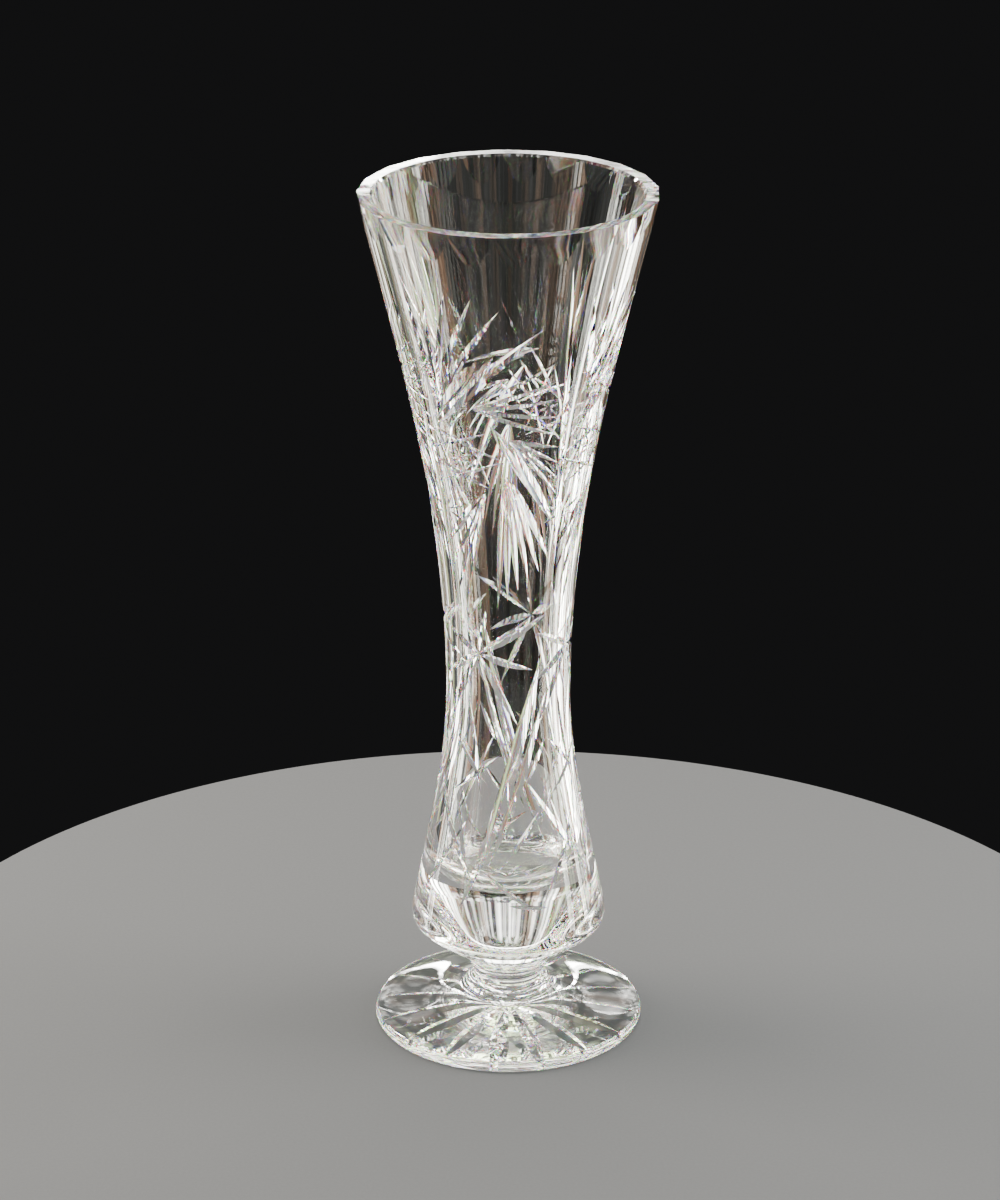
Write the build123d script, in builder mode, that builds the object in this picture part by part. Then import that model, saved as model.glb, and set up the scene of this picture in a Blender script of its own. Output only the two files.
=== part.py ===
from build123d import *

# Cut crystal vase: a waisted bowl fused through a short stem button to a round foot.
# Origin at the centre of the resting face under the foot, +Z up, millimetres.
# A place on the bowl's wall is (angle, height): degrees counter-clockwise from the
# front, which faces -Y, and millimetres above the resting face.

import os
from math import atan, atan2, cos, degrees, radians, sin, tan

# ---- Driving dimensions ----
HEIGHT = 250.0
RIM_RADIUS = 41.6
WAIST_RADIUS = 17.7
WAIST_HEIGHT = 104.0
SHOULDER_RADIUS = 27.4
SHOULDER_HEIGHT = 38.0
FOOT_RADIUS = 38.8
FOOT_EDGE = 3.6
WALL = 4.4

# ---- Joints between the three pieces of glass ----
FOOT_TOP = 12.0
BUTTON_TOP = 20.0
FOOT_SEAT_RADIUS = 12.2
BUTTON_SEAT_RADIUS = 11.9
BUTTON_RADIUS = 10.1
BEAD_RADIUS = 11.6
BOWL_SEAT_RADIUS = 12.4

# ---- Bowl ----
FLARE_HEIGHT = 180.0
FLARE_RADIUS = 25.4
CONE_WIDTH = 12.0
CONE_SLOPE = 0.725
FLOOR_HEIGHT = 43.0
FLOOR_CORNER_HEIGHT = 58.0
RIM_BEVEL = 0.7
# The wall's outline from shoulder to rim: (height, radius, change of radius with height).
STATIONS = [
    (SHOULDER_HEIGHT, SHOULDER_RADIUS, -0.20),
    (WAIST_HEIGHT, WAIST_RADIUS, 0.0),
    (FLARE_HEIGHT, FLARE_RADIUS, 0.19),
    (HEIGHT, RIM_RADIUS, 0.235),
]

# ---- Cut decoration ----
PANELS = 4
V_HALF_ANGLE = 55.0
FLAT_HALF_ANGLE = 76.0
CUTTER_RISE = 1.2
SECTIONS = 6
SPIKE_DEPTH = 0.95
BLADE_DEPTH = 1.4
FLAT_DEPTH = 0.8
LINE_DEPTH = 0.7
STAR_DEPTH = 0.6
STAR_POINTS = 8
STAR_RADIUS = 11.5
# Between these angles no groove rises above this height.
CLEAR_BACK_START = 150.0
CLEAR_BACK_END = 212.0
CLEAR_BACK_HEIGHT = 198.0

RIM_FACETS = 21
RIM_FACET_START = 2.6
RIM_FACET_HEIGHT = 9.0
RIM_FACET_DEPTH = 0.5

FOOT_RAYS = 16
FOOT_RAY_START = -7.0
RAY_INNER = 1.5
RAY_OUTER = 38.2
RAY_DEPTH = 1.6


def wall_at(height):
    """Radius of the wall at a height, and its change with height."""
    for (z0, r0, s0), (z1, r1, s1) in zip(STATIONS, STATIONS[1:]):
        if height <= z1:
            break
    span = z1 - z0
    t = (height - z0) / span
    radius = r0 * (2 * t**3 - 3 * t**2 + 1) + r1 * (3 * t**2 - 2 * t**3)
    radius += span * (s0 * (t**3 - 2 * t**2 + t) + s1 * (t**3 - t**2))
    slope = 6 * (r0 - r1) * (t**2 - t) / span + s0 * (3 * t**2 - 4 * t + 1) + s1 * (3 * t**2 - 2 * t)
    return radius, slope


def wall_curve(stations):
    """The smooth curve through the stations, one Bezier to a span."""
    for (z0, r0, s0), (z1, r1, s1) in zip(stations, stations[1:]):
        third = (z1 - z0) / 3
        Bezier((r0, z0), (r0 + s0 * third, z0 + third), (r1 - s1 * third, z1 - third), (r1, z1))


def wall_plane(place, heading):
    """Plane square to a groove at a place: y leaves the glass, z follows the heading."""
    angle, height = place
    radius, slope = wall_at(height)
    turn = radians(angle)
    lean = atan(slope)
    around = Vector(cos(turn), sin(turn), 0)
    out = Vector(sin(turn), -cos(turn), 0)
    up = Vector(0, 0, 1)
    normal = out * cos(lean) - up * sin(lean)
    climb = out * sin(lean) + up * cos(lean)
    along = climb * cos(heading) + around * sin(heading)
    return Plane(out * radius + up * height, x_dir=normal.cross(along), z_dir=along)


def grind(planes, depths, half_angle=V_HALF_ANGLE):
    """Takes away a V groove whose edge lies at each depth under the origin of each plane."""
    sections = []
    for plane, depth in zip(planes, depths):
        half_width = (depth + CUTTER_RISE) * tan(radians(half_angle))
        with BuildSketch(plane) as section:
            with BuildLine():
                Polyline(
                    (0, -depth), (half_width, CUTTER_RISE), (-half_width, CUTTER_RISE), close=True
                )
            make_face()
        sections.append(section.sketch)
    loft(sections, mode=Mode.SUBTRACT)


def leaf_depths(depth, peak):
    """Depths along a leaf-shaped groove, deepest at the peak's share of its length."""
    shares = [step / SECTIONS for step in range(SECTIONS + 1)]
    reaches = [(t - peak) / (peak if t < peak else 1 - peak) for t in shares]
    return [depth * (1.1 * (1 - reach**2) - 0.1) for reach in reaches]


def in_clear_back(start, end):
    """True for a groove that would rise into the part of the back that is left uncut."""
    angle, height = max((start, end), key=lambda place: place[1])
    return CLEAR_BACK_START < angle < CLEAR_BACK_END and height > CLEAR_BACK_HEIGHT


def cut_mitre(start, end, depth, peak=0.35, half_angle=V_HALF_ANGLE):
    """Cuts one leaf-shaped groove between two places on the wall."""
    if in_clear_back(start, end):
        return
    middle_radius = wall_at((start[1] + end[1]) / 2)[0]
    heading = atan2(radians(end[0] - start[0]) * middle_radius, end[1] - start[1])
    planes = []
    for step in range(SECTIONS + 1):
        t = step / SECTIONS
        place = (start[0] + t * (end[0] - start[0]), start[1] + t * (end[1] - start[1]))
        planes.append(wall_plane(place, heading))
    grind(planes, leaf_depths(depth, peak), half_angle)


def cut_line(start, end, depth=LINE_DEPTH):
    """Cuts a groove that is deepest in the middle."""
    cut_mitre(start, end, depth, peak=0.5)


def cut_fan(hub, first_tip, last_tip, count, depth=SPIKE_DEPTH, arch=0.0):
    """Cuts grooves from a hub to tips spread evenly on a line, or on an arch above it."""
    for spike in range(count):
        t = spike / (count - 1)
        angle = first_tip[0] + t * (last_tip[0] - first_tip[0])
        height = first_tip[1] + t * (last_tip[1] - first_tip[1]) + arch * 4 * t * (1 - t)
        cut_mitre(hub, (angle, height), depth)


def cut_star(centre):
    """Cuts an eight-pointed star whose grooves join every third corner of an octagon."""
    radius = wall_at(centre[1])[0]
    corners = []
    for point in range(STAR_POINTS):
        bearing = radians(point * 360 / STAR_POINTS)
        swing = degrees(STAR_RADIUS * sin(bearing) / radius)
        corners.append((centre[0] + swing, centre[1] + STAR_RADIUS * cos(bearing)))
    for point, corner in enumerate(corners):
        cut_line(corner, corners[(point + 3) % STAR_POINTS], STAR_DEPTH)


def cut_flare(turn):
    """The pinwheel of one panel: a broad blade, fans of spikes and a star."""
    cut_fan((turn - 42, 196), (turn - 51, 231), (turn - 3, 228.5), 5, arch=4)
    cut_mitre(
        (turn - 46, 192), (turn - 4.5, 215), FLAT_DEPTH, peak=0.5, half_angle=FLAT_HALF_ANGLE
    )
    cut_mitre((turn - 47, 189), (turn + 17.5, 222.5), BLADE_DEPTH)
    cut_fan((turn - 20.5, 197), (turn + 26.5, 211.5), (turn + 33, 187.5), 5, LINE_DEPTH)
    cut_star((turn - 30, 181))
    cut_mitre((turn - 12, 193), (turn + 37, 158), BLADE_DEPTH)
    cut_fan((turn - 1, 188), (turn + 33, 184), (turn + 35, 169), 4)
    cut_fan((turn - 2, 177), (turn + 34, 148), (turn - 9, 133), 6)
    cut_fan((turn - 15, 171), (turn - 58, 150), (turn - 40, 131), 4)
    cut_line((turn + 42, 128), (turn + 26, 243), SPIKE_DEPTH)


def cut_waist(turn):
    """The uneven star at the waist of one panel."""
    hub = (turn - 27, 120.5)
    cut_fan(hub, (turn + 37, 133), (turn + 10, 98), 3)
    cut_fan(hub, (turn - 66, 127), (turn - 66, 97), 3)
    cut_fan(hub, (turn - 19, 135), (turn + 19, 132), 2, LINE_DEPTH)


def cut_skirt(turn):
    """The long double diagonal and the crossing lines below the waist of one panel."""
    cut_line((turn + 33, 122), (turn - 34.5, 41.5), BLADE_DEPTH)
    cut_line((turn + 38, 110), (turn - 16, 55.5), SPIKE_DEPTH)
    cut_line((turn + 12, 84), (turn + 66, 52), SPIKE_DEPTH)
    cut_line((turn + 36, 95), (turn + 13, 80))
    cut_line((turn + 26, 73.5), (turn - 7.5, 56))
    cut_line((turn + 58, 71), (turn + 20, 43.5))
    cut_line((turn + 49.5, 109), (turn + 67, 77))
    cut_line((turn + 37, 94), (turn + 72, 81))
    cut_line((turn + 38, 77), (turn + 84, 90.5))
    cut_line((turn - 17, 56), (turn + 20, 43.5))
    cut_line((turn, 46.5), (turn + 26, 45))
    cut_line((turn + 47, 75), (turn + 62, 50))


def cut_rim_facet(turn):
    """Grinds one flat on the outside of the rim; its lower edge comes out as a U."""
    top_radius = RIM_RADIUS - RIM_FACET_DEPTH
    lean = atan((top_radius - wall_at(HEIGHT - RIM_FACET_HEIGHT)[0]) / RIM_FACET_HEIGHT)
    out = Vector(sin(radians(turn)), -cos(radians(turn)), 0)
    up = Vector(0, 0, 1)
    around = up.cross(out)
    flat = Plane(out * top_radius + up * HEIGHT, x_dir=around, z_dir=out * cos(lean) - up * sin(lean))
    with BuildSketch(flat) as face:
        Rectangle(2 * RIM_FACET_HEIGHT, 3 * RIM_FACET_HEIGHT)
    extrude(face.sketch, amount=CUTTER_RISE, mode=Mode.SUBTRACT)


def cut_foot_ray(turn):
    """Grinds one ray of the star under the foot, pointed at both ends."""
    out = Vector(sin(radians(turn)), -cos(radians(turn)), 0)
    down = Vector(0, 0, -1)
    planes = []
    for step in range(SECTIONS + 1):
        reach = RAY_INNER + (RAY_OUTER - RAY_INNER) * step / SECTIONS
        planes.append(Plane(out * reach, x_dir=down.cross(out), z_dir=out))
    grind(planes, leaf_depths(RAY_DEPTH, peak=0.6))


# ---- Foot ----
with BuildPart() as foot:
    with BuildSketch(Plane.XZ):
        with BuildLine():
            edge_radius = FOOT_RADIUS - 0.8
            Line((0, FOOT_TOP), (0, 0))
            Line((0, 0), (edge_radius, 0))
            ThreePointArc((edge_radius, 0), (FOOT_RADIUS, FOOT_EDGE / 2), (edge_radius, FOOT_EDGE))
            Bezier((edge_radius, FOOT_EDGE), (26, 6.0), (14.5, 5.0), (FOOT_SEAT_RADIUS, FOOT_TOP))
            Line((FOOT_SEAT_RADIUS, FOOT_TOP), (0, FOOT_TOP))
        make_face()
    revolve(axis=Axis.Z)
    for ray in range(FOOT_RAYS):
        cut_foot_ray(FOOT_RAY_START + ray * 360 / FOOT_RAYS)
foot.part.label = "foot"

# ---- Stem button ----
with BuildPart() as stem_button:
    with BuildSketch(Plane.XZ):
        with BuildLine():
            bead_low = (BEAD_RADIUS - 0.8, BUTTON_TOP - 2.6)
            bead_high = (BEAD_RADIUS - 0.8, BUTTON_TOP - 1.0)
            Line((0, BUTTON_TOP), (0, FOOT_TOP))
            Line((0, FOOT_TOP), (BUTTON_SEAT_RADIUS, FOOT_TOP))
            ThreePointArc(
                (BUTTON_SEAT_RADIUS, FOOT_TOP), (BUTTON_RADIUS, FOOT_TOP + 2.8), bead_low
            )
            ThreePointArc(bead_low, (BEAD_RADIUS, BUTTON_TOP - 1.8), bead_high)
            Line(bead_high, (BUTTON_SEAT_RADIUS, BUTTON_TOP))
            Line((BUTTON_SEAT_RADIUS, BUTTON_TOP), (0, BUTTON_TOP))
        make_face()
    revolve(axis=Axis.Z)
stem_button.part.label = "stem_button"

# ---- Bowl ----
with BuildPart() as bowl:
    with BuildSketch(Plane.XZ):
        with BuildLine():
            cone_end = (BOWL_SEAT_RADIUS + CONE_WIDTH, BUTTON_TOP + CONE_WIDTH * CONE_SLOPE)
            corner_radius = wall_at(FLOOR_CORNER_HEIGHT)[0] - WALL
            inner_rim = (RIM_RADIUS - WALL, HEIGHT - RIM_BEVEL)
            Line((0, FLOOR_HEIGHT), (0, BUTTON_TOP))
            Line((0, BUTTON_TOP), (BOWL_SEAT_RADIUS, BUTTON_TOP))
            Line((BOWL_SEAT_RADIUS, BUTTON_TOP), cone_end)
            Bezier(
                cone_end,
                (cone_end[0] + 3.8, cone_end[1] + 3.8 * CONE_SLOPE),
                (SHOULDER_RADIUS + 1.0, SHOULDER_HEIGHT - 5.0),
                (SHOULDER_RADIUS, SHOULDER_HEIGHT),
            )
            wall_curve(STATIONS)
            Line((RIM_RADIUS, HEIGHT), (inner_rim[0] + RIM_BEVEL, HEIGHT))
            Line((inner_rim[0] + RIM_BEVEL, HEIGHT), inner_rim)
            wall_curve(
                [
                    (FLOOR_CORNER_HEIGHT, corner_radius, -0.17),
                    (WAIST_HEIGHT, WAIST_RADIUS - WALL, 0.0),
                    (FLARE_HEIGHT, FLARE_RADIUS - WALL, 0.19),
                    (inner_rim[1], inner_rim[0], 0.235),
                ]
            )
            Bezier(
                (corner_radius, FLOOR_CORNER_HEIGHT),
                (corner_radius + 1.4, FLOOR_CORNER_HEIGHT - 8),
                (corner_radius - 4, FLOOR_HEIGHT),
                (0, FLOOR_HEIGHT),
            )
        make_face()
    revolve(axis=Axis.Z)
    for facet in range(RIM_FACETS):
        cut_rim_facet(RIM_FACET_START + facet * 360 / RIM_FACETS)
    for panel in range(PANELS):
        turn = panel * 360 / PANELS
        cut_flare(turn)
        cut_waist(turn)
        cut_skirt(turn)
bowl.part.label = "bowl"

os.makedirs("parts", exist_ok=True)
for piece in (foot, stem_button, bowl):
    export_step(piece.part, f"parts/{piece.part.label}.step")
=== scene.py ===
"""Cut crystal vase: blown and hand-cut lead crystal, on a round pale table in soft studio light.

Every outline and every groove is worked out in millimetres and turned into metres at the end.
A place on the bowl's wall is (angle, height): degrees counter-clockwise from the front (-Y).
"""

from math import atan2, cos, degrees, pi, radians, sin, tan

import bmesh
import bpy
import numpy as np
from mathutils import Matrix, Vector
from mathutils.kdtree import KDTree


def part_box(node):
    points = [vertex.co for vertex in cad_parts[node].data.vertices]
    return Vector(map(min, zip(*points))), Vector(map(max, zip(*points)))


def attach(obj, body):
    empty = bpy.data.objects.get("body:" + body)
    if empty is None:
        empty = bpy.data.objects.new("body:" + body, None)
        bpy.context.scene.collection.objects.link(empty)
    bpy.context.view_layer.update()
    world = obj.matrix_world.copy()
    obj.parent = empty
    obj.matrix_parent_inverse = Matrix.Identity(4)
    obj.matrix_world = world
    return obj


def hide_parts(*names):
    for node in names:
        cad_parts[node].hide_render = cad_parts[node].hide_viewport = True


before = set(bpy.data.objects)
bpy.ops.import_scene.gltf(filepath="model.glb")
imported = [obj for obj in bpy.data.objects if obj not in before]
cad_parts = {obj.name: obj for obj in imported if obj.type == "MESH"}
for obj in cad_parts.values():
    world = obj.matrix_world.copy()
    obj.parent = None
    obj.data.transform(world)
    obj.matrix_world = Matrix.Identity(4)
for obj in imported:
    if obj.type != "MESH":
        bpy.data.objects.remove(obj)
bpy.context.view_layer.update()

MM = 1000.0

# ---- Sizes taken from the frame, in millimetres ----
BOWL_LOW, BOWL_HIGH = (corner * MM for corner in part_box("bowl"))
BUTTON_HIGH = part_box("stem_button")[1] * MM
FOOT_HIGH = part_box("foot")[1] * MM
HEIGHT = BOWL_HIGH.z
BOWL_SEAT = BOWL_LOW.z
FOOT_SEAT = FOOT_HIGH.z
FOOT_RADIUS = FOOT_HIGH.x
NECK_RADIUS = BUTTON_HIGH.x

# ---- The glass ----
RIM_RADIUS = 41.6
WALL = 4.4
RIM_BEVEL = 0.7
FLOOR_HEIGHT = 43.0
FLOOR_CORNER = 58.0
FOOT_EDGE = 3.6
FOOT_SEAT_RADIUS = 12.2
BUTTON_RADIUS = 10.1
BEAD_RADIUS = 11.6
BOWL_SEAT_RADIUS = 12.4
CONE_WIDTH = 12.0
CONE_SLOPE = 0.725
# How far the cone's curve runs straight on, and how far below and outside the shoulder it bulges.
CONE_LEAD = 3.8
SHOULDER_BULGE = (1.0, -5.0)
# How the curve inside starts below the floor's corner, and how far in it has levelled out.
FLOOR_START = (1.4, -8.0)
FLOOR_LEVEL = 4.0
EDGE_ROUNDING = 0.8
BUTTON_WAIST_RISE = 2.8
BEAD_DROP = 1.8
FOOT_DOME = [(26, 6), (14.5, 5)]
# The wall from shoulder to rim: (height, radius, change of radius with height).
STATIONS = [(38.0, 27.4, -0.20), (104.0, 17.7, 0.0), (180.0, 25.4, 0.19), (HEIGHT, RIM_RADIUS, 0.235)]

# ---- The cutting ----
PANELS = 4
RIM_FACETS = 21
RIM_FACET_START = 2.6
RIM_FACET_HEIGHT = 9.0
RIM_FACET_DEPTH = 0.5
RIM_FACET_HALF_WIDTH = 9.0
RIM_CUTTER_THICKNESS = 6.0
FOOT_RAYS = 16
FOOT_RAY_START = -7.0
FOOT_RAY_INNER = 1.0
FOOT_RAY_MARGIN = 0.6
FOOT_RAY_DEPTH = 1.6
FOOT_RAY_SECTIONS = 24
V_HALF_ANGLE = 55.0
FLAT_HALF_ANGLE = 76.0
STAR_HALF_ANGLE = 42.0
CUTTER_RISE = 1.2
SPIKE_DEPTH = 0.8
BLADE_DEPTH = 1.4
FLAT_DEPTH = 0.8
LINE_DEPTH = 0.5
STAR_DEPTH = 0.6
FINE_DEPTH = 0.3
# Where a groove is deepest, as a share of its length.
NEAR_HUB = 0.35
MIDWAY = 0.5
FOOT_RAY_PEAK = 0.6
# A groove's depth goes this share past zero at both ends, so that it starts in a point.
LEAF_OVERSHOOT = 0.1
SECTION_SPACING = 2.5
FEWEST_SECTIONS = 7
# Between these angles no groove rises above this height.
CLEAR_BACK = (150, 212)
CLEAR_BACK_HEIGHT = 198

# ---- Meshes ----
AROUND = 240
OUTER_STEPS = 110
INNER_STEPS = 70
CRISP_ANGLE = 20.0
NORMALS_PER_POINT = 20
ON_AXIS = 1e-3
POLISHED, CUT, SEAM = range(3)

# ---- What share of each colour the crystal bends, by what refractive index, and its surface ----
CLEAR = [((1, 1, 1), 1.55)]
PRISM = [((0.8, 0.8, 0.8), 1.55), ((0.2, 0, 0), 1.53), ((0, 0.2, 0), 1.552), ((0, 0, 0.2), 1.578)]
RIPPLE_SCALE = 90
RIPPLE_STRETCH = 0.25
RIPPLE_HEIGHT = 0.001
FILM_SCALE = 35
FILM_DETAIL = 6
FILM_RANGE = (0.5, 0.8)
SHADOW_TINT = (0.72, 0.74, 0.74, 1)

# ---- The room that the glass mirrors and bends, from straight ahead round to behind the camera.
# Each pane is (degrees to the side where it starts, light, tint). ----
DARK, WHITE, BROWN, GREEN = (0.9, 0.95, 1), (1, 1, 0.96), (1, 0.68, 0.5), (0.86, 1, 0.62)
ROOM_LEFT = [
    (0, 0.002, WHITE), (4, 0.006, BROWN), (6, 0.003, WHITE), (8, 0.03, BROWN), (14, 0.05, WHITE),
    (19, 0.12, WHITE), (24, 0.03, BROWN), (27, 0.06, GREEN), (31, 0.008, DARK),
    (45, 0.04, BROWN), (52, 0.01, DARK), (63, 0.5, WHITE), (74, 0.01, DARK), (112, 0.15, BROWN),
    (118, 0.4, WHITE), (123, 0.04, BROWN), (140, 0.01, DARK), (150, 0.045, BROWN),
    (155, 0.012, DARK), (162, 0.03, BROWN), (168, 0.008, DARK), (176, 0.025, BROWN),
]
ROOM_RIGHT = [
    (0, 0.002, WHITE), (12, 0.02, BROWN), (17, 0.006, DARK), (24, 0.03, BROWN), (30, 0.3, WHITE),
    (38, 0.5, WHITE), (48, 0.05, BROWN), (56, 0.35, WHITE), (68, 0.8, WHITE), (74, 0.08, BROWN),
    (82, 0.2, GREEN), (88, 0.06, BROWN), (92, 0.8, WHITE), (101, 0.08, BROWN), (112, 0.05, WHITE),
    (124, 0.01, DARK), (136, 0.05, BROWN), (139, 0.012, DARK), (150, 0.045, BROWN),
    (155, 0.01, DARK), (164, 0.04, BROWN), (169, 0.01, DARK),
]
# The same from straight down to straight up: (height, light, tint).
ROOM_UPWARD = [
    (-1, 0.02, WHITE), (-0.6, 0.1, WHITE), (-0.2, 1, WHITE), (0.5, 0.8, WHITE), (0.8, 0.2, WHITE),
]
# The pane between 0.60 and 0.62 is what the far half of the rim mirrors.
CEILING = [
    (0.3, 0, WHITE), (0.42, 0.1, WHITE), (0.5, 0.02, WHITE), (0.595, 0.02, WHITE), (0.602, 3, WHITE),
    (0.616, 2.5, WHITE), (0.6245, 0.01, DARK), (0.645, 0.01, DARK), (0.66, 0.2, WHITE),
    (0.68, 0.03, WHITE), (0.71, 0.25, WHITE), (0.74, 0.04, BROWN), (0.78, 0.2, WHITE),
    (0.82, 0.03, BROWN), (0.9, 0.2, GREEN),
]
ROOM_LIGHT = 15.0
# The curtains' folds and the clutter overhead: (scale, detail), and the light they let through.
FOLDS = (60, 1)
FOLDS_GAIN = 5.0
FOLDS_OFFSET = -1.6
FOLDS_DARKEST = 0.12
CLUTTER = (20, 2)
CLUTTER_RANGE = (0.44, 0.56)
CLUTTER_LIGHT = (0.15, 1.5)
AMBIENT = (0.05, 0.05, 0.052, 1)
BACKDROP = (0.014, 0.014, 0.0145, 1)

# ---- Camera and table, in metres and radians ----
LENS = 137.0
CAMERA_DISTANCE = 1.1984
CAMERA_HEIGHT = 0.6116
CAMERA_PITCH = 0.382074
CAMERA_SHIFT = -0.0069
CAMERA_CLIP = 0.05
VIEW_LOOK = "AgX - Medium High Contrast"
LIGHT_BOUNCES = 32
MIRROR_BOUNCES = 16
TABLE_RADIUS = 0.19
TABLE_DROP = 0.0002
GRAIN_SCALE = 400
CARD_COLOURS = [(0.64, 0.63, 0.61, 1), (0.70, 0.69, 0.67, 1)]


# ---- Outlines ----

def wall_at(height):
    """Radius of the bowl's wall at a height, and its change with height."""
    for (z0, r0, s0), (z1, r1, s1) in zip(STATIONS, STATIONS[1:]):
        if height <= z1:
            break
    span = z1 - z0
    t = (height - z0) / span
    radius = r0 * (2 * t**3 - 3 * t**2 + 1) + r1 * (3 * t**2 - 2 * t**3)
    radius += span * (s0 * (t**3 - 2 * t**2 + t) + s1 * (t**3 - t**2))
    slope = 6 * (r0 - r1) * (t**2 - t) / span + s0 * (3 * t**2 - 4 * t + 1) + s1 * (3 * t**2 - 2 * t)
    return radius, slope


def bezier(points, count):
    """Points along a cubic curve."""
    a, b, c, d = (np.array(p, float) for p in points)
    t = np.linspace(0, 1, count)[:, None]
    return a * (1 - t) ** 3 + 3 * b * t * (1 - t) ** 2 + 3 * c * t**2 * (1 - t) + d * t**3


def arc(start, through, end, count):
    """Points along the circular arc through three points."""
    a, b, c = (complex(*p) for p in (start, through, end))
    w = (c - a) / (b - a)
    centre = a - (a - b) * (w - abs(w) ** 2) / (2j * w.imag)
    first, last = (p - centre for p in (a, c))
    turn = np.angle(last / first)
    if np.angle((b - centre) / first) * turn < 0:
        turn -= np.sign(turn) * 2 * pi
    ring = centre + first * np.exp(1j * turn * np.linspace(0, 1, count))
    return np.stack([ring.real, ring.imag], axis=1)


def line(start, end, count=2):
    """Points along a straight line."""
    return np.linspace(start, end, count)


def bowl_runs():
    """The bowl's outline from the axis under it to the axis inside it, as smooth runs."""
    cone_end = (BOWL_SEAT_RADIUS + CONE_WIDTH, BOWL_SEAT + CONE_WIDTH * CONE_SLOPE)
    outer_heights = np.linspace(STATIONS[0][0], HEIGHT, OUTER_STEPS)
    outer = np.array([(wall_at(z)[0], z) for z in outer_heights])
    inner_rim = (RIM_RADIUS - WALL, HEIGHT - RIM_BEVEL)
    inner_heights = np.linspace(inner_rim[1], FLOOR_CORNER, INNER_STEPS)
    inner = np.array([(wall_at(z)[0] - WALL, z) for z in inner_heights])
    corner = inner[-1][0]
    floor_lead = (corner + FLOOR_START[0], FLOOR_CORNER + FLOOR_START[1])
    floor_level = (corner - FLOOR_LEVEL, FLOOR_HEIGHT)
    floor = bezier([inner[-1], floor_lead, floor_level, (0, FLOOR_HEIGHT)], count=28)
    cone_lead = (cone_end[0] + CONE_LEAD, cone_end[1] + CONE_LEAD * CONE_SLOPE)
    bulge = (outer[0][0] + SHOULDER_BULGE[0], outer[0][1] + SHOULDER_BULGE[1])
    shoulder = bezier([cone_end, cone_lead, bulge, outer[0]], count=14)
    return {
        "seat": line((0, BOWL_SEAT), (NECK_RADIUS, BOWL_SEAT)),
        "ledge": line((NECK_RADIUS, BOWL_SEAT), (BOWL_SEAT_RADIUS, BOWL_SEAT)),
        "cone": line((BOWL_SEAT_RADIUS, BOWL_SEAT), cone_end, count=8),
        "wall": np.concatenate([shoulder[:-1], outer]),
        "rim": line((RIM_RADIUS, HEIGHT), (inner_rim[0] + RIM_BEVEL, HEIGHT)),
        "bevel": line((inner_rim[0] + RIM_BEVEL, HEIGHT), inner_rim),
        "inside": np.concatenate([inner[:-1], floor]),
    }


def button_runs():
    """The stem button's outline, from the axis under it to the axis on top."""
    middle = BOWL_SEAT - BEAD_DROP
    low = (BEAD_RADIUS - EDGE_ROUNDING, middle - EDGE_ROUNDING)
    high = (BEAD_RADIUS - EDGE_ROUNDING, middle + EDGE_ROUNDING)
    narrowest = (BUTTON_RADIUS, FOOT_SEAT + BUTTON_WAIST_RISE)
    return {
        "seat": line((0, FOOT_SEAT), (NECK_RADIUS, FOOT_SEAT)),
        "waist": arc((NECK_RADIUS, FOOT_SEAT), narrowest, low, count=20),
        "bead": arc(low, (BEAD_RADIUS, middle), high, count=12),
        "collar": line(high, (NECK_RADIUS, BOWL_SEAT)),
        "top": line((NECK_RADIUS, BOWL_SEAT), (0, BOWL_SEAT)),
    }


def foot_runs():
    """The foot's outline, from the axis under it to the axis on top."""
    edge = FOOT_RADIUS - EDGE_ROUNDING
    return {
        "under": line((0, 0), (edge, 0), count=24),
        "edge": arc((edge, 0), (FOOT_RADIUS, FOOT_EDGE / 2), (edge, FOOT_EDGE), count=14),
        "dome": bezier([(edge, FOOT_EDGE), *FOOT_DOME, (FOOT_SEAT_RADIUS, FOOT_SEAT)], count=60),
        "ledge": line((FOOT_SEAT_RADIUS, FOOT_SEAT), (NECK_RADIUS, FOOT_SEAT)),
        "top": line((NECK_RADIUS, FOOT_SEAT), (0, FOOT_SEAT)),
    }


# ---- Meshes ----

def lathe(name, runs):
    """Turns an outline about the axis. A face's material index is the number of its run."""
    sides = list(runs.values())
    outline = [tuple(sides[0][0])]
    labels = []
    for label, run in enumerate(sides):
        outline += [tuple(p) for p in run[1:]]
        labels += [label] * (len(run) - 1)
    verts, rings = [], []
    for radius, height in outline:
        if radius < ON_AXIS:
            rings.append([len(verts)] * AROUND)
            verts.append((0, 0, height))
            continue
        rings.append(list(range(len(verts), len(verts) + AROUND)))
        for step in range(AROUND):
            turn = 2 * pi * step / AROUND
            verts.append((radius * sin(turn), -radius * cos(turn), height))
    faces, face_labels = [], []
    for (low, high), label in zip(zip(rings, rings[1:]), labels):
        for step in range(AROUND):
            ahead = (step + 1) % AROUND
            corners = [low[step], low[ahead], high[ahead], high[step]]
            faces.append(list(dict.fromkeys(corners)))
            face_labels.append(label)
    mesh = bpy.data.meshes.new(name)
    mesh.from_pydata(verts, [], faces)
    for _ in range(len(runs) + 1):
        mesh.materials.append(None)
    mesh.polygons.foreach_set("material_index", face_labels)
    obj = bpy.data.objects.new(name, mesh)
    bpy.context.scene.collection.objects.link(obj)
    return obj


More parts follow.
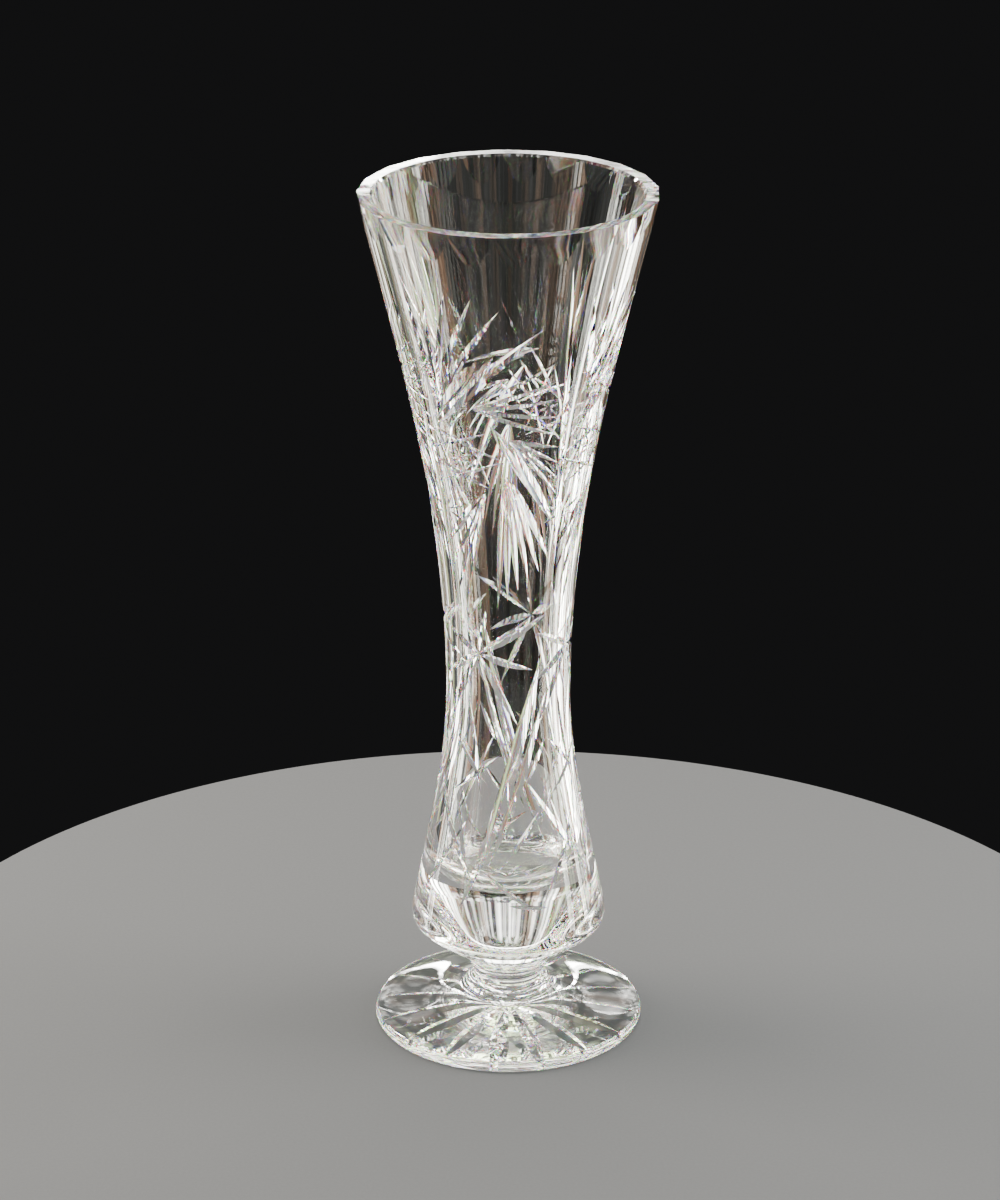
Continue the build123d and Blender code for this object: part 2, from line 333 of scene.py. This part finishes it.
def groove(points, normals, along, depths, half_angle, label):
    """A closed cutter with a V edge at each depth under its points."""
    spread = tan(radians(half_angle))
    verts = []
    for point, normal, ahead, depth in zip(points, normals, along, depths):
        side = ahead.cross(normal).normalized() * (depth + CUTTER_RISE) * spread
        top = point + normal * CUTTER_RISE
        verts += [point - normal * depth, top + side, top - side]
    last = len(verts) - 3
    faces = [(0, 2, 1), (last, last + 1, last + 2)]
    for base in range(0, last, 3):
        for a, b in ((0, 1), (1, 2), (2, 0)):
            faces.append((base + a, base + b, base + 3 + b, base + 3 + a))
    return cutter(verts, faces, label)


def cutter(verts, faces, label):
    """An object that is taken away from the glass, in the cut faces' material slot."""
    mesh = bpy.data.meshes.new("cutter")
    mesh.from_pydata(verts, [], faces)
    shape = bmesh.new()
    shape.from_mesh(mesh)
    bmesh.ops.recalc_face_normals(shape, faces=shape.faces)
    shape.to_mesh(mesh)
    shape.free()
    for _ in range(label + 1):
        mesh.materials.append(None)
    mesh.polygons.foreach_set("material_index", [label] * len(mesh.polygons))
    return bpy.data.objects.new("cutter", mesh)


def leaf_depths(depth, peak, count):
    """Depths along a leaf-shaped groove, deepest at the peak's share of its length."""
    shares = np.linspace(0, 1, count)
    reach = np.where(shares < peak, (shares - peak) / peak, (shares - peak) / (1 - peak))
    return depth * ((1 + LEAF_OVERSHOOT) * (1 - reach**2) - LEAF_OVERSHOOT)


def mitre(start, end, depth, peak=NEAR_HUB, half_angle=V_HALF_ANGLE, label=0):
    """The cutter for one groove between two places on the bowl's wall."""
    middle = wall_at((start[1] + end[1]) / 2)[0]
    width, rise = radians(end[0] - start[0]) * middle, end[1] - start[1]
    heading = atan2(width, rise)
    count = max(FEWEST_SECTIONS, int(np.hypot(width, rise) / SECTION_SPACING))
    points, normals, along = [], [], []
    for t in np.linspace(0, 1, count):
        turn = radians(start[0] + t * (end[0] - start[0]))
        height = start[1] + t * rise
        radius, slope = wall_at(height)
        out = Vector((sin(turn), -cos(turn), 0))
        around = Vector((cos(turn), sin(turn), 0))
        climb = Vector((out.x * slope, out.y * slope, 1)).normalized()
        points.append(out * radius + Vector((0, 0, height)))
        normals.append(around.cross(climb).normalized())
        along.append(climb * cos(heading) + around * sin(heading))
    return groove(points, normals, along, leaf_depths(depth, peak, count), half_angle, label)


def fan(hub, first_tip, last_tip, count, depth, arch=0.0):
    """Grooves from a hub to tips spread evenly on a line, or on an arch above it."""
    cuts = []
    for t in np.linspace(0, 1, count):
        angle = first_tip[0] + t * (last_tip[0] - first_tip[0])
        height = first_tip[1] + t * (last_tip[1] - first_tip[1]) + arch * 4 * t * (1 - t)
        cuts.append((hub, (angle, height), depth))
    return cuts


def rungs(first, last, count, depth):
    """Evenly spaced grooves from the first (start, end) to the last."""
    ladder = np.linspace(first, last, count)
    return [(tuple(start), tuple(end), depth, MIDWAY) for start, end in ladder]


def round_place(centre, reach, bearing):
    """The place at a reach in millimetres from another, at a bearing in degrees from straight up."""
    swing = degrees(reach * sin(radians(bearing)) / wall_at(centre[1])[0])
    return centre[0] + swing, centre[1] + reach * cos(radians(bearing))


def star(centre, reach, points, skip, depth):
    """Grooves that join every few corners of a regular outline round a place."""
    corners = [round_place(centre, reach, 360 * point / points) for point in range(points)]
    cuts = []
    for corner, other in zip(corners, corners[skip:] + corners[:skip]):
        cuts.append((corner, other, depth, MIDWAY, STAR_HALF_ANGLE))
    return cuts


def spokes(centre, inner, outer, count, depth):
    """Grooves that point away from a place all round it."""
    cuts = []
    for spoke in range(count):
        bearing = 360 * (spoke + 0.5) / count
        ends = [round_place(centre, reach, bearing) for reach in (inner, outer)]
        cuts.append((*ends, depth, MIDWAY))
    return cuts


def hobstar(centre):
    """An eight-pointed star with a rayed middle."""
    cuts = star(centre, reach=12.5, points=8, skip=3, depth=STAR_DEPTH)
    return cuts + spokes(centre, inner=0.3, outer=4.0, count=8, depth=FINE_DEPTH)


def pinwheel():
    """The flare's cuts in one panel: a broad blade, fans of spikes, a hobstar and crossed lines."""
    cuts = fan((-42, 196), (-51, 231), (-3, 228.5), 5, SPIKE_DEPTH, arch=4)
    cuts.append(((-46, 192), (-4.5, 215), FLAT_DEPTH, MIDWAY, FLAT_HALF_ANGLE))
    cuts.append(((-47, 189), (17.5, 222.5), BLADE_DEPTH))
    cuts += fan((-20.5, 197), (26.5, 211.5), (33, 187.5), 5, LINE_DEPTH)
    cuts += rungs([(10, 217), (24, 202)], [(-10.5, 203.5), (2, 197)], 5, FINE_DEPTH)
    cuts += hobstar((-31, 181))
    cuts += spokes((-48, 163.5), inner=0.5, outer=7.0, count=8, depth=FINE_DEPTH)
    cuts.append(((-12, 193), (37, 158), BLADE_DEPTH))
    cuts += fan((-1, 188), (33, 184), (35, 169), 4, LINE_DEPTH)
    cuts += fan((-2, 177), (34, 148), (-9, 133), 6, SPIKE_DEPTH)
    cuts += fan((-15, 171), (-58, 150), (-40, 131), 4, SPIKE_DEPTH)
    cuts.append(((42, 128), (26, 243), SPIKE_DEPTH, MIDWAY))
    return cuts


def waist_star():
    """The uneven star at the waist of one panel."""
    hub = (-27, 120.5)
    cuts = fan(hub, (37, 133), (10, 98), 3, SPIKE_DEPTH)
    cuts += fan(hub, (-66, 127), (-66, 97), 3, SPIKE_DEPTH)
    return cuts + fan(hub, (-19, 135), (19, 132), 2, LINE_DEPTH)


def skirt():
    """The long double diagonal and the crossing lines below the waist of one panel."""
    lines = [
        ((36, 95), (13, 80)),
        ((26, 73.5), (-7.5, 56)),
        ((58, 71), (20, 43.5)),
        ((49.5, 109), (67, 77)),
        ((37, 94), (72, 81)),
        ((38, 77), (84, 90.5)),
        ((-17, 56), (20, 43.5)),
        ((0, 46.5), (26, 45)),
        ((47, 75), (62, 50)),
    ]
    cuts = [(start, end, LINE_DEPTH, MIDWAY) for start, end in lines]
    cuts.append(((33, 122), (-34.5, 41.5), BLADE_DEPTH, MIDWAY))
    cuts.append(((38, 110), (-16, 55.5), SPIKE_DEPTH, MIDWAY))
    cuts.append(((12, 84), (66, 52), SPIKE_DEPTH, MIDWAY))
    return cuts


def in_clear_back(ends):
    """True if a groove would rise into the part of the back that is left uncut."""
    angle, height = max(ends, key=lambda place: place[1])
    return CLEAR_BACK[0] < angle < CLEAR_BACK[1] and height > CLEAR_BACK_HEIGHT


def rim_facet(turn, label):
    """A flat on the outside of the rim, whose lower edge comes out as a U."""
    top, low = RIM_RADIUS - RIM_FACET_DEPTH, wall_at(HEIGHT - RIM_FACET_HEIGHT)[0]
    slope = (top - low) / RIM_FACET_HEIGHT
    width, depth = RIM_FACET_HALF_WIDTH, RIM_CUTTER_THICKNESS
    spin = Matrix.Rotation(radians(turn), 3, "Z")
    verts = []
    for height in (HEIGHT - 2 * RIM_FACET_HEIGHT, HEIGHT + RIM_FACET_HEIGHT):
        radius = top + slope * (height - HEIGHT)
        for x, y in ((-width, 0), (width, 0), (width, depth), (-width, depth)):
            verts.append(spin @ Vector((x, -radius - y, height)))
    sides = [(0, 1, 2, 3), (4, 5, 6, 7), (0, 1, 5, 4), (1, 2, 6, 5), (2, 3, 7, 6), (3, 0, 4, 7)]
    return cutter(verts, sides, label)


def foot_ray(turn, label):
    """One ray of the star under the foot, pointed at both ends."""
    out = Vector((sin(radians(turn)), -cos(radians(turn)), 0))
    count = FOOT_RAY_SECTIONS
    reaches = np.linspace(FOOT_RAY_INNER, FOOT_RADIUS - FOOT_RAY_MARGIN, count)
    points = [out * reach for reach in reaches]
    down = [Vector((0, 0, -1))] * count
    depths = leaf_depths(FOOT_RAY_DEPTH, FOOT_RAY_PEAK, count)
    return groove(points, down, [out] * count, depths, V_HALF_ANGLE, label)


def cut(obj, cutters):
    """Takes all the cutters away from the glass at once."""
    tools = bpy.data.collections.new("cutters")
    for tool in cutters:
        tools.objects.link(tool)
    modifier = obj.modifiers.new("cut", "BOOLEAN")
    modifier.operation = "DIFFERENCE"
    modifier.solver = "MANIFOLD"
    modifier.operand_type = "COLLECTION"
    modifier.collection = tools
    bpy.context.scene.collection.children.link(tools)
    graph = bpy.context.evaluated_depsgraph_get()
    result = bpy.data.meshes.new_from_object(obj.evaluated_get(graph), depsgraph=graph)
    obj.modifiers.remove(modifier)
    old, obj.data = obj.data, result
    bpy.data.meshes.remove(old)
    for tool in cutters:
        bpy.data.meshes.remove(tool.data)
    bpy.data.collections.remove(tools)


def smooth_outline(run):
    """A tree of close points along a run, and the surface normal at each of them."""
    slopes = np.gradient(run, axis=0)
    normals = np.stack([slopes[:, 1], -slopes[:, 0]], axis=1)
    normals /= np.linalg.norm(normals, axis=1)[:, None]
    shares = np.linspace(0, len(run) - 1, NORMALS_PER_POINT * len(run))
    places = [np.interp(shares, range(len(run)), run[:, axis]) for axis in (0, 1)]
    fine = [np.interp(shares, range(len(run)), normals[:, axis]) for axis in (0, 1)]
    tree = KDTree(len(shares))
    for index, (radius, height) in enumerate(zip(*places)):
        tree.insert((radius, height, 0), index)
    tree.balance()
    return tree, np.stack(fine, axis=1)


def polish(obj, runs):
    """Gives turned faces the exact normals of their outline, and keeps every cut edge crisp."""
    mesh = obj.data
    shape = bmesh.new()
    shape.from_mesh(mesh)
    for edge in shape.edges:
        near, far = edge.link_faces
        bend = near.normal.angle(far.normal, 0)
        edge.smooth = near.material_index == far.material_index and bend < radians(CRISP_ANGLE)
    for face in shape.faces:
        face.smooth = True
    shape.to_mesh(mesh)
    shape.free()
    normals = np.zeros((len(mesh.loops), 3))
    corners = [[] for _ in range(len(runs) + 1)]
    for face in mesh.polygons:
        corners[face.material_index] += face.loop_indices
    for label, run in enumerate(runs.values()):
        tree, fine = smooth_outline(run)
        for corner in corners[label]:
            x, y, z = mesh.vertices[mesh.loops[corner].vertex_index].co
            radius = np.hypot(x, y)
            out, up = fine[tree.find((radius, z, 0))[1]]
            if radius < ON_AXIS:
                normals[corner] = (0, 0, np.sign(up))
                continue
            normals[corner] = (out * x / radius, out * y / radius, up)
    mesh.normals_split_custom_set(normals)


def finish_piece(obj, node, runs, seams, materials):
    """Sets a piece's materials and units, and puts it in its CAD node's place."""
    polish(obj, runs)
    mesh = obj.data
    labels = np.zeros(len(mesh.polygons), int)
    mesh.polygons.foreach_get("material_index", labels)
    kinds = [SEAM if key in seams else POLISHED for key in runs] + [CUT]
    mesh.materials.clear()
    for material in materials:
        mesh.materials.append(material)
    mesh.polygons.foreach_set("material_index", np.array(kinds)[labels])
    mesh.transform(Matrix.Scale(1 / MM, 4))
    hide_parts(node)
    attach(obj, "root")


# ---- Materials ----

def wire(tree, source, target):
    """Joins two sockets."""
    tree.links.new(source, target)


def noise(tree, scale, detail=2, vector=None):
    """The value of a Noise Texture node."""
    node = tree.nodes.new("ShaderNodeTexNoise")
    node.inputs["Scale"].default_value = scale
    node.inputs["Detail"].default_value = detail
    if vector is not None:
        wire(tree, vector, node.inputs["Vector"])
    return node.outputs["Fac"]


def map_range(tree, value, source, target):
    """A value moved from one (low, high) range to another, and held inside it."""
    node = tree.nodes.new("ShaderNodeMapRange")
    for key, number in zip(("From Min", "From Max", "To Min", "To Max"), (*source, *target)):
        node.inputs[key].default_value = number
    wire(tree, value, node.inputs["Value"])
    return node.outputs["Result"]


def new_tree(name):
    """A new material, and its empty node tree."""
    material = bpy.data.materials.new(name)
    material.use_nodes = True
    material.node_tree.nodes.clear()
    return material, material.node_tree


def bent_light(tree, spectrum, roughness, normal):
    """One glass shader for each colour of the spectrum, added together."""
    bent = None
    for colour, index in spectrum:
        glass = tree.nodes.new("ShaderNodeBsdfGlass")
        glass.inputs["Color"].default_value = (*colour, 1)
        glass.inputs["IOR"].default_value = index
        wire(tree, roughness, glass.inputs["Roughness"])
        wire(tree, normal, glass.inputs["Normal"])
        if bent is None:
            bent = glass
            continue
        both = tree.nodes.new("ShaderNodeAddShader")
        wire(tree, bent.outputs[0], both.inputs[0])
        wire(tree, glass.outputs[0], both.inputs[1])
        bent = both
    return bent.outputs[0]


def crystal(name, spectrum, wave, haze):
    """Lead crystal that bends each colour of a spectrum by its own index, with the slight waviness of
    hand work. It lets light straight through to the table, so that its shadow is pale."""
    material, tree = new_tree(name)
    place = tree.nodes.new("ShaderNodeTexCoord").outputs["Object"]
    stretch = tree.nodes.new("ShaderNodeMapping")
    stretch.inputs["Scale"].default_value = (1, 1, RIPPLE_STRETCH)
    wire(tree, place, stretch.inputs["Vector"])
    bump = tree.nodes.new("ShaderNodeBump")
    bump.inputs["Strength"].default_value = wave
    bump.inputs["Distance"].default_value = RIPPLE_HEIGHT
    wire(tree, noise(tree, RIPPLE_SCALE, vector=stretch.outputs["Vector"]), bump.inputs["Height"])
    film = noise(tree, FILM_SCALE, FILM_DETAIL, place)
    dull = map_range(tree, film, FILM_RANGE, (0, haze))
    clear = tree.nodes.new("ShaderNodeBsdfTransparent")
    clear.inputs["Color"].default_value = SHADOW_TINT
    path = tree.nodes.new("ShaderNodeLightPath")
    mix = tree.nodes.new("ShaderNodeMixShader")
    out = tree.nodes.new("ShaderNodeOutputMaterial")
    wire(tree, path.outputs["Is Shadow Ray"], mix.inputs["Fac"])
    wire(tree, bent_light(tree, spectrum, dull, bump.outputs["Normal"]), mix.inputs[1])
    wire(tree, clear.outputs["BSDF"], mix.inputs[2])
    wire(tree, mix.outputs["Shader"], out.inputs["Surface"])
    return material


def fused_seam():
    """The face where two gathers were fused: nothing is left there to see."""
    material, tree = new_tree("fused_seam")
    clear = tree.nodes.new("ShaderNodeBsdfTransparent")
    out = tree.nodes.new("ShaderNodeOutputMaterial")
    wire(tree, clear.outputs["BSDF"], out.inputs["Surface"])
    return material


def paper():
    """The table's matt pale card."""
    material = bpy.data.materials.new("pale_card")
    material.use_nodes = True
    tree = material.node_tree
    surface = tree.nodes["Principled BSDF"]
    surface.inputs["Specular IOR Level"].default_value = 0
    card = blend(tree, "MIX", noise(tree, GRAIN_SCALE), *CARD_COLOURS)
    wire(tree, card, surface.inputs["Base Color"])
    return material


# ---- Pieces ----

def build_bowl(materials):
    """The bowl, with its rim facets and its cut pattern."""
    runs = bowl_runs()
    bowl = lathe("crystal_bowl", runs)
    label = len(runs)
    cutters = []
    for facet in range(RIM_FACETS):
        cutters.append(rim_facet(RIM_FACET_START + facet * 360 / RIM_FACETS, label))
    for panel in range(PANELS):
        turn = panel * 360 / PANELS
        for start, end, *rest in pinwheel() + waist_star() + skirt():
            ends = [(angle + turn, height) for angle, height in (start, end)]
            if not in_clear_back(ends):
                cutters.append(mitre(*ends, *rest, label=label))
    cut(bowl, cutters)
    finish_piece(bowl, "bowl", runs, ("seat",), materials)


def build_button(materials):
    """The plain stem button."""
    runs = button_runs()
    button = lathe("crystal_stem_button", runs)
    finish_piece(button, "stem_button", runs, ("seat", "top"), materials)


def build_foot(materials):
    """The foot, with the star of rays under it."""
    runs = foot_runs()
    foot = lathe("crystal_foot", runs)
    turns = [FOOT_RAY_START + ray * 360 / FOOT_RAYS for ray in range(FOOT_RAYS)]
    cut(foot, [foot_ray(turn, len(runs)) for turn in turns])
    finish_piece(foot, "foot", runs, ("top",), materials)


# ---- Studio ----

def build_floor():
    """A round pale table under the vase."""
    mesh = bpy.data.meshes.new("floor")
    turns = [2 * pi * step / AROUND for step in range(AROUND)]
    rim = [(TABLE_RADIUS * cos(turn), TABLE_RADIUS * sin(turn), 0) for turn in turns]
    mesh.from_pydata(rim, [], [range(AROUND)])
    mesh.materials.append(paper())
    floor = bpy.data.objects.new("floor", mesh)
    floor.location.z = -TABLE_DROP
    bpy.context.scene.collection.objects.link(floor)


def softbox(name, place, size, watts, colour):
    """A soft lamp for the table. It faces the vase, but neither the camera nor the glass sees it."""
    lamp = bpy.data.lights.new(name, "AREA")
    lamp.shape = "RECTANGLE"
    lamp.size, lamp.size_y = size
    lamp.energy = watts
    lamp.color = colour
    obj = bpy.data.objects.new(name, lamp)
    obj.location = place
    aim = Vector((0, 0, HEIGHT / 2 / MM)) - Vector(place)
    obj.rotation_euler = aim.to_track_quat("-Z", "Y").to_euler()
    obj.visible_camera = False
    obj.visible_glossy = False
    obj.visible_transmission = False
    bpy.context.scene.collection.objects.link(obj)


def ramp(tree, stops, source, interpolation):
    """Colour along a value, from stops of (where it starts, light, tint)."""
    node = tree.nodes.new("ShaderNodeValToRGB")
    node.color_ramp.interpolation = interpolation
    elements = node.color_ramp.elements
    while len(elements) < len(stops):
        elements.new(1)
    for element, (start, light, tint) in zip(elements, stops):
        element.position = start
        element.color = (*(light * channel for channel in tint), 1)
    wire(tree, source, node.inputs["Fac"])
    return node.outputs["Color"]


def maths(tree, operation, *values):
    """The output of a Math node."""
    node = tree.nodes.new("ShaderNodeMath")
    node.operation = operation
    for socket, value in zip(node.inputs, values):
        if isinstance(value, (int, float)):
            socket.default_value = value
            continue
        wire(tree, value, socket)
    return node.outputs["Value"]


def blend(tree, mode, factor, first, second):
    """The output of a Mix node on two colours."""
    node = tree.nodes.new("ShaderNodeMix")
    node.data_type = "RGBA"
    node.blend_type = mode
    for key, value in (("Factor", factor), ("A", first), ("B", second)):
        socket = node.inputs[key]
        if isinstance(value, (int, float, tuple)):
            socket.default_value = value
            continue
        wire(tree, value, socket)
    return node.outputs["Result"]


def room(tree):
    """What the glass sees: windows and curtains to both sides of the camera, a bright ceiling,
    and dark straight ahead."""
    place = tree.nodes.new("ShaderNodeTexCoord")
    split = tree.nodes.new("ShaderNodeSeparateXYZ")
    wire(tree, place.outputs["Camera"], split.inputs["Vector"])
    across, up, ahead = split.outputs
    bearing = maths(tree, "ARCTAN2", maths(tree, "ABSOLUTE", across), ahead)
    bearing = maths(tree, "DIVIDE", bearing, pi)
    half_turn = [[(angle / 180, *rest) for angle, *rest in side] for side in (ROOM_LEFT, ROOM_RIGHT)]
    left, right = (ramp(tree, stops, bearing, "CONSTANT") for stops in half_turn)
    windows = blend(tree, "MIX", maths(tree, "GREATER_THAN", across, 0.0), left, right)
    climb = maths(tree, "MULTIPLY_ADD", up, 0.5, 0.5)
    tall, ceiling = (
        ramp(tree, [((height + 1) / 2, *rest) for height, *rest in stops], climb, "LINEAR")
        for stops in (ROOM_UPWARD, CEILING)
    )
    folds = tree.nodes.new("ShaderNodeTexNoise")
    folds.noise_dimensions = "1D"
    folds.inputs["Scale"].default_value, folds.inputs["Detail"].default_value = FOLDS
    wire(tree, bearing, folds.inputs["W"])
    shade = maths(tree, "MULTIPLY_ADD", folds.outputs["Fac"], FOLDS_GAIN, FOLDS_OFFSET)
    shade = maths(tree, "MAXIMUM", shade, FOLDS_DARKEST)
    clutter = noise(tree, *CLUTTER, vector=place.outputs["Camera"])
    beams = map_range(tree, clutter, CLUTTER_RANGE, CLUTTER_LIGHT)
    ceiling = blend(tree, "MULTIPLY", 1.0, ceiling, beams)
    lit = blend(tree, "ADD", 1.0, blend(tree, "MULTIPLY", 1.0, windows, tall), ceiling)
    return blend(tree, "MULTIPLY", 1.0, lit, shade)


def build_world():
    """The glass sees the room, which turns with the camera. Behind the vase the camera sees a dark,
    even backdrop, and the matt table gets an even light."""
    world = bpy.data.worlds.new("studio")
    bpy.context.scene.world = world
    world.cycles.sampling_method = "NONE"
    world.use_nodes = True
    tree = world.node_tree
    tree.nodes.clear()
    path = tree.nodes.new("ShaderNodeLightPath")
    lights = []
    for colour, strength in ((room(tree), ROOM_LIGHT), (AMBIENT, 1.0), (BACKDROP, 1.0)):
        light = tree.nodes.new("ShaderNodeBackground")
        light.inputs["Strength"].default_value = strength
        if isinstance(colour, tuple):
            light.inputs["Color"].default_value = colour
        else:
            wire(tree, colour, light.inputs["Color"])
        lights.append(light.outputs["Background"])
    matt = maths(tree, "GREATER_THAN", path.outputs["Diffuse Depth"], 0.5)
    for choice, other in ((matt, 1), (path.outputs["Is Camera Ray"], 2)):
        mix = tree.nodes.new("ShaderNodeMixShader")
        wire(tree, choice, mix.inputs["Fac"])
        wire(tree, lights[0], mix.inputs[1])
        wire(tree, lights[other], mix.inputs[2])
        lights[0] = mix.outputs["Shader"]
    out = tree.nodes.new("ShaderNodeOutputWorld")
    wire(tree, lights[0], out.inputs["Surface"])


def build_camera():
    """A long lens a little above the rim, looking down on the foot."""
    camera = bpy.data.cameras.new("camera")
    camera.lens = LENS
    camera.shift_x = CAMERA_SHIFT
    camera.clip_start = CAMERA_CLIP
    obj = bpy.data.objects.new("camera", camera)
    obj.location = (0, -CAMERA_DISTANCE, CAMERA_HEIGHT)
    obj.rotation_euler = (pi / 2 - CAMERA_PITCH, 0, 0)
    bpy.context.scene.collection.objects.link(obj)
    bpy.context.scene.camera = obj


def set_up_picture():
    """Glass needs long light paths, and reads best with crisp contrast."""
    bpy.context.scene.view_settings.look = VIEW_LOOK
    cycles = bpy.context.scene.cycles
    cycles.max_bounces = LIGHT_BOUNCES
    cycles.transmission_bounces = LIGHT_BOUNCES
    cycles.glossy_bounces = MIRROR_BOUNCES
    cycles.transparent_max_bounces = LIGHT_BOUNCES


surfaces = [
    crystal("polished_crystal", CLEAR, wave=0.02, haze=0.03),
    crystal("cut_crystal", PRISM, wave=0.04, haze=0.02),
    fused_seam(),
]
build_bowl(surfaces)
build_button(surfaces)
build_foot(surfaces)
build_floor()
softbox("window_left", (-0.7, 0.15, 0.35), size=(0.5, 0.9), watts=3, colour=(1.0, 0.98, 0.94))
softbox("window_right", (0.7, 0.05, 0.3), size=(0.5, 0.9), watts=2.4, colour=(0.95, 0.98, 1.0))
softbox("overhead", (0, 0.1, 1.2), size=(0.5, 0.5), watts=3, colour=(1, 1, 1))
build_world()
build_camera()
set_up_picture()
